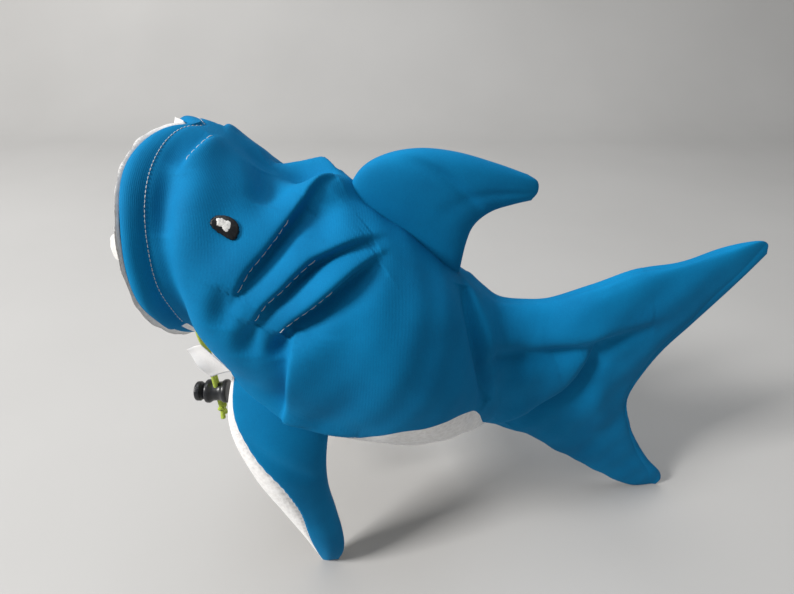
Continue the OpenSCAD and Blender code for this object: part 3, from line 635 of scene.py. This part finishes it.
def teal_knit():
    """Stretch knit: ribs of V-shaped loops along UV, a fine nap, and slow changes of shade."""
    material, tree, shader = new_material("teal_knit", 0.8, sheen=0.1, specular=0.1)
    shader.inputs["Sheen Tint"].default_value = (0.03, 0.45, 0.85, 1)
    down, across = uv_lengths(tree)
    ribs = ripple(tree, down, 7800.0)
    courses = ripple(tree, across, 9400.0, maths(tree, "MULTIPLY", ribs, 1.3))
    loops = maths(tree, "MULTIPLY_ADD", courses, 0.4, ribs)
    nap, slow = noise(tree, 1500.0, 3.0), noise(tree, 26.0, 4.0)
    shade(tree, shader, maths(tree, "MULTIPLY_ADD", nap, 0.45, slow),
          (0.0008, 0.112, 0.262), (0.0014, 0.182, 0.400), first=0.35)
    relief(tree, shader, maths(tree, "MULTIPLY_ADD", nap, 6.0, loops), 0.00004, 0.5)
    return material


TEAL = teal_knit()
for side, grid, flip in (("left", left_grid, False), ("right", right_grid, True)):
    panel = surface(f"{side}_side_fabric", grid, TEAL, flip=flip)
    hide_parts(f"{side}_side_panel", f"tail_{side}_panel")
    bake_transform(panel)

# --- Belly ------------------------------------------------------------------------------
# One piece of white fleece between the two side panels, from the hem to the tail, where
# the side panels meet below. The body's filling is inside these three pieces.


def fleece(name, dark, light, scale):
    """Brushed fleece: short matted pile from two scales of noise, with faint clumps of shade."""
    material, tree, shader = new_material(name, 0.9, sheen=0.5, specular=0.15)
    pile = noise(tree, scale, 5.0, 0.7)
    place = add_node(tree, "TexCoord").outputs["Object"]
    clumps = add_node(tree, "TexVoronoi", {"Vector": place, "Scale": scale * 0.35})
    matted = maths(tree, "MULTIPLY_ADD", clumps.outputs["Distance"], 0.5, pile)
    shade(tree, shader, matted, dark, light, first=0.3)
    relief(tree, shader, matted, 0.0005, 0.8)
    return material


FLEECE = fleece("white_fleece", (0.66, 0.64, 0.62), (0.88, 0.87, 0.86), 900.0)


def belly_grid():
    """Between the two panels' lower edges: the trunk's skin, moved so that its edges are theirs."""
    first = 4  # the rows before it are under the hem
    rows = left_grid[ROLL_ROWS + first:ROLL_ROWS + TRUNK_ROWS, -1] / MM
    x = TRUNK_X[first:]
    seam = np.minimum(from_table(BELLY_SEAM, np.clip(x, -158, TAIL_FRONT))[:, 1:], 270)
    t = np.linspace(0, 1, 90)[None, :]
    angle = seam + t * (540 - 2 * seam)
    points = trunk_skin(x[:, None] + 0 * angle, angle)
    near, far = rows - points[:, 0], rows * mirror - points[:, -1]
    share = t[..., None]
    points = points + (1 - ease(share * 5)) * near[:, None] + ease(share * 5 - 4) * far[:, None]
    normals = facing(points)
    wide = np.clip((540 - 2 * seam) / 100, 0, 1)[..., None]
    inner = np.sin(np.pi * t)[..., None] * wide
    bumps = np.sin(points[..., :1] * 0.17 + 1) * np.sin(points[..., 1:2] * 0.21)
    return (points + normals * inner * (1.2 + 0.7 * bumps)) * MM


belly_points = belly_grid()
belly = surface("belly_fabric", belly_points, FLEECE)
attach(belly, "trunk")
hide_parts("belly_panel", "body_stuffing")

# --- Mouth hem and its topstitching -----------------------------------------------------
# The teal band is folded round the drawstring at the mouth's edge and stitched down with
# white thread in stitches about 2.3 mm apart, 12 mm behind the edge. The string's ring
# lies loose inside the fold.

HEM_STRING_R = 56.4


def about_rim(profile_x, profile_r, angle):
    """A profile of (x, radius) rows carried round the mouth, and moved back by rim_shift."""
    a = np.radians(angle)[None, :]
    x, r = profile_x[:, None], profile_r[:, None]
    r = r + rim_flare(x, angle[None, :])
    back = rim_shift(angle)[None, :] * ease((-110 - x) / 60)
    return np.stack(np.broadcast_arrays(x + back, r * np.cos(a), RIM_Z + r * np.sin(a)), 2)


def hem_ring():
    """A closed tube: out along the body, round the front in a half turn, and back inside."""
    turn = np.radians(np.linspace(90, -90, 19))
    middle = RIM_R - ROLL_R
    x = np.concatenate([np.linspace(-160.5, HEM_MID + 0.5, 7), HEM_MID - HEM_HALF * np.cos(turn) + 0.5,
                        np.linspace(HEM_MID + 0.5, -160.5, 6), [-160.2, -160.2]])
    r = np.concatenate([np.full(7, RIM_R - 1.0), middle + (ROLL_R - 1.0) * np.sin(turn),
                        np.full(6, middle - ROLL_R + 1.0), [middle - 1, middle + 1]])
    angle = np.linspace(0, 360, 240, endpoint=False)
    grid = about_rim(x, r, angle)
    return np.concatenate([grid, grid[:1]]) * MM


hem_points = hem_ring()
hem = surface("mouth_hem_band", hem_points, TEAL, around=True, flip=True)
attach(hem, "trunk")
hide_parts("mouth_hem")

ring_path = about_rim(np.array([HEM_MID]), np.array([HEM_STRING_R]), np.linspace(-88, 268, 300))[0]
ring_skin = tube(ring_path * MM, CORD_DIAMETER / 2, 10, (1.0, 0, 0))
ring = surface("drawstring_in_hem", ring_skin, LIME, True, True)
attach(ring, "trunk")
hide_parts("rim_drawstring")

panel_normals = facing(left_grid)


def on_panel(points):
    """The nearest places on the left side panel and their normals, each from its four nearest
    vertices weighed by distance."""
    flat, facing_flat = left_grid.reshape(-1, 3), panel_normals.reshape(-1, 3)
    places, outward = [], []
    for group in np.array_split(points, max(1, len(points) // 40)):
        gap = np.linalg.norm(flat[None] - group[:, None], axis=2)
        near = np.argpartition(gap, 4, axis=1)[:, :4]
        weight = 1 / (np.take_along_axis(gap, near, 1) + 2e-4)
        weight /= weight.sum(1, keepdims=True)
        places.append((flat[near] * weight[..., None]).sum(1))
        outward.append((facing_flat[near] * weight[..., None]).sum(1))
    outward = np.concatenate(outward)
    return np.concatenate(places), outward / np.linalg.norm(outward, axis=1, keepdims=True)


def thread_cotton():
    """White cotton thread: a fine twist along UV in the bump, and the same twist as painted shade in
    the colour, grey in its grooves.
    """
    material, tree, shader = new_material("white_thread", 0.55, sheen=0.2)
    down, across = uv_lengths(tree)
    twist_and_shade = ripple(tree, maths(tree, "ADD", across, down), 16000.0)
    # painted shade: the white greys in the grooves of the twist
    shade(tree, shader, twist_and_shade, (0.60, 0.62, 0.64), (0.86, 0.87, 0.88))
    relief(tree, shader, twist_and_shade, 0.00005)
    return material


THREAD = thread_cotton()


def stitches(name, line, outward, stitch, gap, radius, mirrored=False):
    """A row of short thread arches along a line: each rises by half its radius and dives in at
    both ends. mirrored gives the same row on the right side."""
    steps = np.linalg.norm(np.diff(line, axis=0), axis=1)
    length = np.concatenate([[0], np.cumsum(steps)])
    count = max(1, int(length[-1] // (stitch + gap)))
    start = (np.arange(count) * (stitch + gap))[:, None]
    s = start + stitch * np.linspace(0, 1, 6)[None, :]
    at = lambda values: np.stack([np.interp(s, length, values[:, k]) for k in range(3)], 2)
    arch = np.sin(np.pi * np.linspace(0, 1, 6))[None, :, None]
    up = at(outward)
    path = at(line) + up * radius * (1.5 * arch - 0.6)
    rings = tube(path, radius * (0.75 + 0.25 * arch[..., 0]), 6, (0.31, 0.17, 0.94))
    if mirrored:
        rings = np.concatenate([rings, (rings * mirror)[:, :, ::-1]])
    piece = surface(name, rings, THREAD, around=True, flip=True)
    return piece


stitch_row = ROLL_ROWS + int(np.argmin(np.abs(TRUNK_X - STITCH_X)))
hem_line = left_grid[stitch_row, 2:-1]
hem_stitches = stitches("hem_topstitching", hem_line, panel_normals[stitch_row, 2:-1],
                        stitch=0.0018, gap=0.0005, radius=0.0002, mirrored=True)
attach(hem_stitches, "trunk")

# --- Mouth lining -----------------------------------------------------------------------
# A deep cup of white fleece sewn inside the hem. Its edge is turned out over the front of
# the hem and shows as an uneven white line round the mouth.

MOUTH_DEPTH, MOUTH_R = 86.0, 52.0


def lining_grid():
    """Cup: radius falls as the root of 1 - s cubed while the depth follows a sine; its middle
    follows the trunk. Then the wall runs forward and round the hem's front to a ragged edge."""
    angle = np.linspace(0, 360, 200, endpoint=False)
    a = np.radians(angle)
    s = np.sin(np.linspace(np.pi / 2, 0.03, 60))
    x = -158.35 + (MOUTH_DEPTH - 2.5) * s
    row = from_table(TRUNK, x)
    pleats = 1 + (0.018 * np.sin(9 * a) + 0.012 * np.sin(17 * a + 1)) * s[:, None]
    r = ((MOUTH_R - 2.6) * np.sqrt(1 - s**3))[:, None] * pleats
    mid = (row[:, 1:2] + row[:, 2:3]) / 2
    cup = np.stack([x[:, None] + 0 * a, r * np.cos(a), mid + r * np.sin(a)], 2)
    cup[..., 0] += rim_shift(angle) * ease((-110 - x) / 60)[:, None]
    away = lambda middle, width: np.exp(-(((angle - middle + 180) % 360 - 180) / width) ** 2)
    uneven = 0.25 * np.sin(11 * a + 1) + 0.2 * np.sin(23 * a) + 0.1 * np.sin(41 * a + 2)
    proud = 1.1 + uneven + 1.0 * away(205, 22) + 0.8 * away(112, 12) + 0.8 * away(68, 12)
    turn = np.radians(np.linspace(-90, 1, 15))[:, None] * (1 + 0.12 * uneven)[None]
    middle = RIM_R - ROLL_R
    lip_x = HEM_MID - (HEM_HALF + proud) * np.cos(turn)
    flare = rim_flare(EDGE_X, angle)
    lip_r = middle + (ROLL_R + proud) * np.sin(turn) + flare * ease(turn / 1.2 + 1.2)
    back = rim_shift(angle) * ease((-110 - lip_x) / 60)
    lip = np.stack([lip_x + back, lip_r * np.cos(a), RIM_Z + lip_r * np.sin(a)], 2)
    edge_r = middle + 1.2 + flare
    edge = np.stack([HEM_MID - HEM_HALF + 0.6 + rim_shift(angle), edge_r * np.cos(a),
                     RIM_Z + edge_r * np.sin(a)], 1)[None]
    full = middle + 2.2 + 0.9 * proud + flare
    outer = np.stack([HEM_MID - HEM_HALF - 0.6 * proud + rim_shift(angle), full * np.cos(a),
                      RIM_Z + full * np.sin(a)], 1)[None]
    return np.concatenate([cup, lip, outer, edge]) * MM


lining_points = lining_grid()
lining = surface("mouth_lining_fleece", lining_points, FLEECE, around=True, flip=True)
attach(lining, "trunk")
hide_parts("mouth_lining")

# --- Teeth ------------------------------------------------------------------------------
# White felt points, nine above and five below, sewn in between the hem and the lining.
# Each leans into the mouth by its own angle, in degrees.

TOOTH_L, TOOTH_W, TOOTH_T = 17.0, 8.2, 1.5
TOOTH_RING_R = 54.4
FELT = fleece("white_felt", (0.62, 0.60, 0.57), (0.84, 0.83, 0.80), 1500.0)


def teeth(name, angles, leans, node):
    """Each tooth: an ellipse across, carried from the root to the tip, its width falling slowly
    and then to nothing; it leans into the mouth by its angle, and they are stacked round it."""
    t = np.linspace(0, 1, 22)[:, None]
    q = np.linspace(0, 2 * np.pi, 20, endpoint=False)[None, :]
    open_row = t > 0  # the first row is drawn to a point, which closes the root
    width = TOOTH_W * (1 - 0.25 * t**2) * np.sqrt(1 - t**14) * open_row
    thick = TOOTH_T * (1 - 0.2 * t) * np.sqrt(1 - t**7) * open_row
    across = width * np.cos(q)
    depth = thick * np.sign(np.sin(q)) * np.abs(np.sin(q)) ** 0.7
    out = np.maximum(t - 0.3, 0) * TOOTH_L
    grids = []
    for k, (angle, lean) in enumerate(zip(angles, np.radians(leans))):
        back, flare = rim_shift(angle), rim_flare(EDGE_X, angle)
        x = HEM_MID - (TOOTH_L * t - out * (1 - np.cos(lean))) + back + np.sin(lean) * depth
        r = TOOTH_RING_R + flare * t - out * np.sin(lean) + np.cos(lean) * depth
        a = np.radians(angle) + across / 54.0 + 0.03 * np.sin(1.7 * k) * t
        grids.append(np.stack([x, r * np.cos(a), RIM_Z + r * np.sin(a)], 2))
    points = np.stack(grids) * MM
    piece = surface(name, points, FELT, around=True, flip=True)
    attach(piece, "trunk")
    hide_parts(node)


teeth("upper_teeth_felt", 90 + np.linspace(-104, 104, 9), (48, 2, 42, 52, 40, 50, 44, 28, 50),
      "upper_teeth")
teeth("lower_teeth_felt", 90 + np.linspace(136, 224, 5), (20, 50, 44, 52, 46), "lower_teeth")

# --- Eyes -------------------------------------------------------------------------------
# A drop of glossy black vinyl on each side and, on it, an uneven white patch that is a
# painted highlight, the eye's reflection of the light laid on as colour; both lie flat on the cheek.

EYE_PLACE = np.array([-0.123, -0.051, 0.258])
EYE_OUTLINE = [(-7.0, -0.6), (-6.2, 2.4), (-3.4, 4.9), (0.2, 5.8), (3.8, 4.8), (6.4, 2.0),
               (7.4, -1.4), (6.8, -3.4), (5.0, -4.2), (0.6, -4.0), (-4.0, -3.4), (-6.4, -2.2),
               (-7.0, -0.6)]
PAINTED_GLINT_OUTLINE = [(-5.2, 1.0), (-3.3, 2.6), (-1.3, 2.7), (1.1, 3.1), (2.6, 1.1), (2.6, -1.9),
                 (0.7, -2.3), (-0.7, -1.3), (-3.3, -1.6), (-5.2, 1.0)]


def patch(name, outline, low, high, bevel, material, node):
    """A closed outline, filled by rings that shrink to its middle, laid on the cheek: flat on
    top with a rounded edge, on both sides of the head. The outline's first way is back."""
    rings = np.array([1.0, 1.0, 0.97, 0.93, 0.85, 0.6, 0.3, 0.0])
    height = np.array([0.0, 0.5, 0.85, 0.97, 1.0, 1.0 + bevel, 1.0 + 1.3 * bevel, 1.0 + 1.4 * bevel])
    curve = smooth_path(outline, np.linspace(0, 1, 73)[:-1])
    centre = np.mean(curve, 0)
    flat = (centre + (curve - centre)[None] * rings[:, None, None]) * MM
    _, up = on_panel(EYE_PLACE[None])
    back = np.array([0.80, 0.0, -0.60])
    back = back - up[0] * (back @ up[0])
    back /= np.linalg.norm(back)
    rise = np.cross(up[0], back)
    spread = EYE_PLACE + flat[..., :1] * back + flat[..., 1:] * rise
    places, outward = on_panel(spread.reshape(-1, 3))
    lift = (low + (high - low) * height)[:, None, None] * MM
    points = places.reshape(spread.shape) + lift * outward.reshape(spread.shape)
    for side, grid in (("left", points), ("right", (points * mirror)[:, ::-1])):
        piece = surface(f"{side}_{name}", grid, material, True)
        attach(piece, "trunk")
        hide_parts(f"{side}_{node}")


def vinyl():
    """Glossy black vinyl with faint orange-peel bumps and a slightly rubbed colour."""
    material, tree, shader = new_material("eye_vinyl", 0.36, specular=0.35)
    shade(tree, shader, noise(tree, 300.0, 4.0), (0.004, 0.004, 0.005), (0.008, 0.008, 0.009))
    relief(tree, shader, noise(tree, 700.0), 0.00004)
    return material


patch("eye_patch", EYE_OUTLINE, -0.6, 1.1, 0.35, vinyl(), "eye")
# painted highlight: the eye's reflection of the light, laid on as a white felt patch
patch("painted_eye_glint", PAINTED_GLINT_OUTLINE, 0.9, 1.9, 0.1, FELT, "eye_glint")

# --- Gill and nostril stitching ---------------------------------------------------------
# White thread in long stitches holds each tuck shut along the foot of its ridge.


def tuck_threads(name, paths, nodes, stitch, gap):
    """Rows of stitches seated on the folded panel, just on the valley side of each tuck."""
    for k, path in enumerate(paths):
        line = smooth_path(path, np.linspace(0, 1, 60)) * MM
        for _ in range(2):
            line, outward = on_panel(line)
        piece = stitches(f"{name}_{k}", line, outward, stitch, gap, radius=0.00021, mirrored=True)
        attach(piece, "trunk")
        if k == 0:
            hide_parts(*nodes)


tuck_threads("gill_stitching", GILL_THREADS,
             ["left_gill_tucks", "right_gill_tucks"], 0.0048, 0.0011)
tuck_threads("nostril_stitching", [NOSTRIL_PATH], ["nostril_tucks"], 0.0042, 0.0008)

# --- Front fins -------------------------------------------------------------------------
# Each is a padded bag: teal knit on its outer face, white fleece on the inner face and
# round its leading edge, sewn along both edges and into the belly seam at its root.

FIN_ROOT = [(-134, -44, 178), (-108, -50, 164), (-80, -52, 148)]
FIN_TIP = [(-97, -64, 0), (-91, -64, 0), (-85, -64, 0)]
FIN_LEAD = [(-134, -44, 178), (-140, -60, 142), (-132, -64, 106), (-119, -64, 72), (-108, -64, 42),
            (-101, -64, 18), (-97, -64, 0)]
FIN_TRAIL = [(-80, -52, 148), (-85, -62, 114), (-86, -64, 86), (-83, -64, 60), (-80, -64, 34),
             (-80, -64, 15), (-85, -64, 0)]


def fin_grid(start, end, columns):
    """Part of the fin's skin between two turns, which may change down the fin. A turn is 0 at
    the leading edge, pi at the trailing edge and more on the inner face; the middle surface
    is moved out by the half thickness times a rounded sine of the turn."""
    v = np.linspace(0, 1, 190)[:, None]
    t = np.linspace(0, 1, columns)[None, :]
    turn = start(v) + (end(v) - start(v)) * t
    u = (1 - np.cos(turn)) / 2
    points = between_edges(FIN_ROOT, FIN_TIP, FIN_LEAD, FIN_TRAIL, u, v + 0 * t)
    half = 12.5 * np.sin(np.pi * np.minimum(1, 0.05 + 0.91 * v**0.75)) ** 0.75 * np.sqrt(1 - v**12)
    out = half * np.sign(np.sin(turn)) * np.abs(np.sin(turn)) ** 0.85
    # the sewn edges pull in and pucker a little
    seam = np.minimum(t, 1 - t) * columns
    pull = 1 - 0.05 * np.exp(-(seam / 2.0) ** 2) * (1 + 0.5 * np.sin(v * 260))
    crease = 2.2 * np.exp(-((v - 0.17 - 0.09 * u) / 0.035) ** 2) * (np.sin(turn) > 0)
    swell = 0.6 * np.sin(9 * v + 2 * turn) * np.abs(np.sin(turn))
    points[..., 1] -= (out - (crease + swell) * np.sin(turn) ** 2 * np.sign(out)) * pull
    points[..., 2] = np.maximum(points[..., 2], 0)
    return points * MM


# the turn of the seam on the outer face, from root to tip, and of the one behind
LEAD_SEAM = [0.25, 0.46, 0.95, 1.50, 1.66, 1.56, 1.32, 1.05, 0.84, 0.62, 0.50]
lead_seam = lambda v: smooth_path([(turn, 0) for turn in LEAD_SEAM], v)[..., 0]
trail_seam = lambda v: np.pi + 0.12 + 0 * v
fin_top = fin_grid(lead_seam, trail_seam, 90)
fin_under = fin_grid(trail_seam, lambda v: 2 * np.pi + lead_seam(v), 110)

for side, sign in (("left", 1), ("right", -1)):
    for part, grid, material, slot_name, nodes in (
            ("top", fin_top, TEAL, "teal_knit", [f"{side}_fin_top", f"{side}_fin_stuffing"]),
            ("under", fin_under, FLEECE, "white_fleece", [f"{side}_fin_under"])):
        shape = grid if sign > 0 else grid * mirror
        fin = surface(f"{side}_fin_{part}_fabric", shape, material, flip=sign > 0)
        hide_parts(*nodes)
        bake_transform(fin)

# --- Dorsal fin -------------------------------------------------------------------------
# Two teal panels, lightly filled, sewn into the back seam. The tip droops towards the
# tail, and both faces are creased where it bends.

DORSAL_ROOT = [(-72, 0, 254), (-40, 0, 234), (-4, 0, 203)]
DORSAL_TIP = [(30, 0, 267), (36, 0, 263), (37, 0, 257), (34, 0, 252)]
DORSAL_LEAD = [(-72, 0, 254), (-62, 0, 270), (-48, 0, 278), (-30, 0, 281), (-10, 0, 279), (12, 0, 273),
               (30, 0, 267)]
DORSAL_TRAIL = [(-4, 0, 203), (-1, 0, 226), (3, 0, 238), (12, 0, 246), (24, 0, 250), (34, 0, 252)]


def dorsal_grid():
    """The dorsal fin's left face: a patch in the middle plane, out by a rounded half thickness."""
    v = np.linspace(0, 1, 130)[:, None]
    turn = np.linspace(0, np.pi, 90)[None, :]
    u = (1 - np.cos(turn)) / 2 + 0 * v
    points = between_edges(DORSAL_ROOT, DORSAL_TIP, DORSAL_LEAD, DORSAL_TRAIL, u, v + 0 * turn)
    half = 9.5 * np.sin(np.pi * np.minimum(1, 0.22 + 0.74 * v**0.85)) ** 0.8 * np.sqrt(1 - v**10)
    bulge = np.abs(np.sin(turn)) ** 0.7
    crease = (2.0 * np.exp(-((v - 0.42 - 0.12 * u) / 0.05) ** 2)
              + 1.4 * np.exp(-((u - 0.72) / 0.08) ** 2) * v)
    points[..., 1] = -(half * bulge - crease * np.sin(turn) ** 2 * np.minimum(1, half / 9.5))
    return points * MM


dorsal_left = dorsal_grid()
for side, shape, flip in (("left", dorsal_left, True), ("right", dorsal_left * mirror, False)):
    fin = surface(f"dorsal_{side}_fabric", shape, TEAL, flip=flip)
    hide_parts(f"dorsal_{side}_panel", *(["dorsal_stuffing"] if side == "left" else []))
    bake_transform(fin)

# --- Label ------------------------------------------------------------------------------
# A small blank piece of white satin, sewn into the belly seam by the corner of the mouth.

LABEL_ROOT = np.array([[-0.1480, -0.0537, 0.1907], [-0.1330, -0.0582, 0.1756]])
LABEL_OUT = np.array([[-0.0095, 0.0012, -0.0045], [-0.0130, 0.0005, -0.0052]])


def label_grid():
    """A thin sheet from its seam out, bent by a half wave, closed round all four edges: turn
    goes over one face and back over the other."""
    turn = np.linspace(0, 2 * np.pi, 64, endpoint=False)[:, None, None]
    t = np.linspace(0, 1, 34)[None, :, None]
    root = LABEL_ROOT[0] + t * (LABEL_ROOT[1] - LABEL_ROOT[0])
    out = LABEL_OUT[0] + t * (LABEL_OUT[1] - LABEL_OUT[0])
    s = (1 - np.cos(turn)) / 2
    face = np.cross(LABEL_ROOT[1] - LABEL_ROOT[0], LABEL_OUT[1])
    face /= np.linalg.norm(face)
    ends = np.sqrt(np.clip(1 - (2 * t - 1) ** 30, 0, 1))
    thick = 0.0003 * np.sign(np.sin(turn)) * np.abs(np.sin(turn)) ** 0.2 * ends
    wave = 0.0009 * np.sin(2.2 * np.pi * t + 1) * s + 0.0012 * np.sin(np.pi * s)
    return np.swapaxes(root + s * out + (thick + wave) * face, 0, 1)


def satin():
    """Blank satin: a fine twill along UV and a faint yellowing by noise."""
    material, tree, shader = new_material("label_satin", 0.42, sheen=0.1)
    down, across = uv_lengths(tree)
    twill = ripple(tree, maths(tree, "MULTIPLY_ADD", down, 0.5, across), 18000.0)
    shade(tree, shader, noise(tree, 160.0, 3.0), (0.70, 0.68, 0.66), (0.85, 0.84, 0.83))
    relief(tree, shader, twill, 0.00003)
    return material


label_points = label_grid()
label = surface("label_sheet", label_points, satin(), around=True)
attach(label, "label")
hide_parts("label")

# --- Tail filling -----------------------------------------------------------------------
# The tail's filling is inside the two side panels, which stand for it as well.
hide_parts("tail_stuffing")

({"cad": [list(corner) for corner in cad_box],
           "visual": [list(corner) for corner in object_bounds()]})
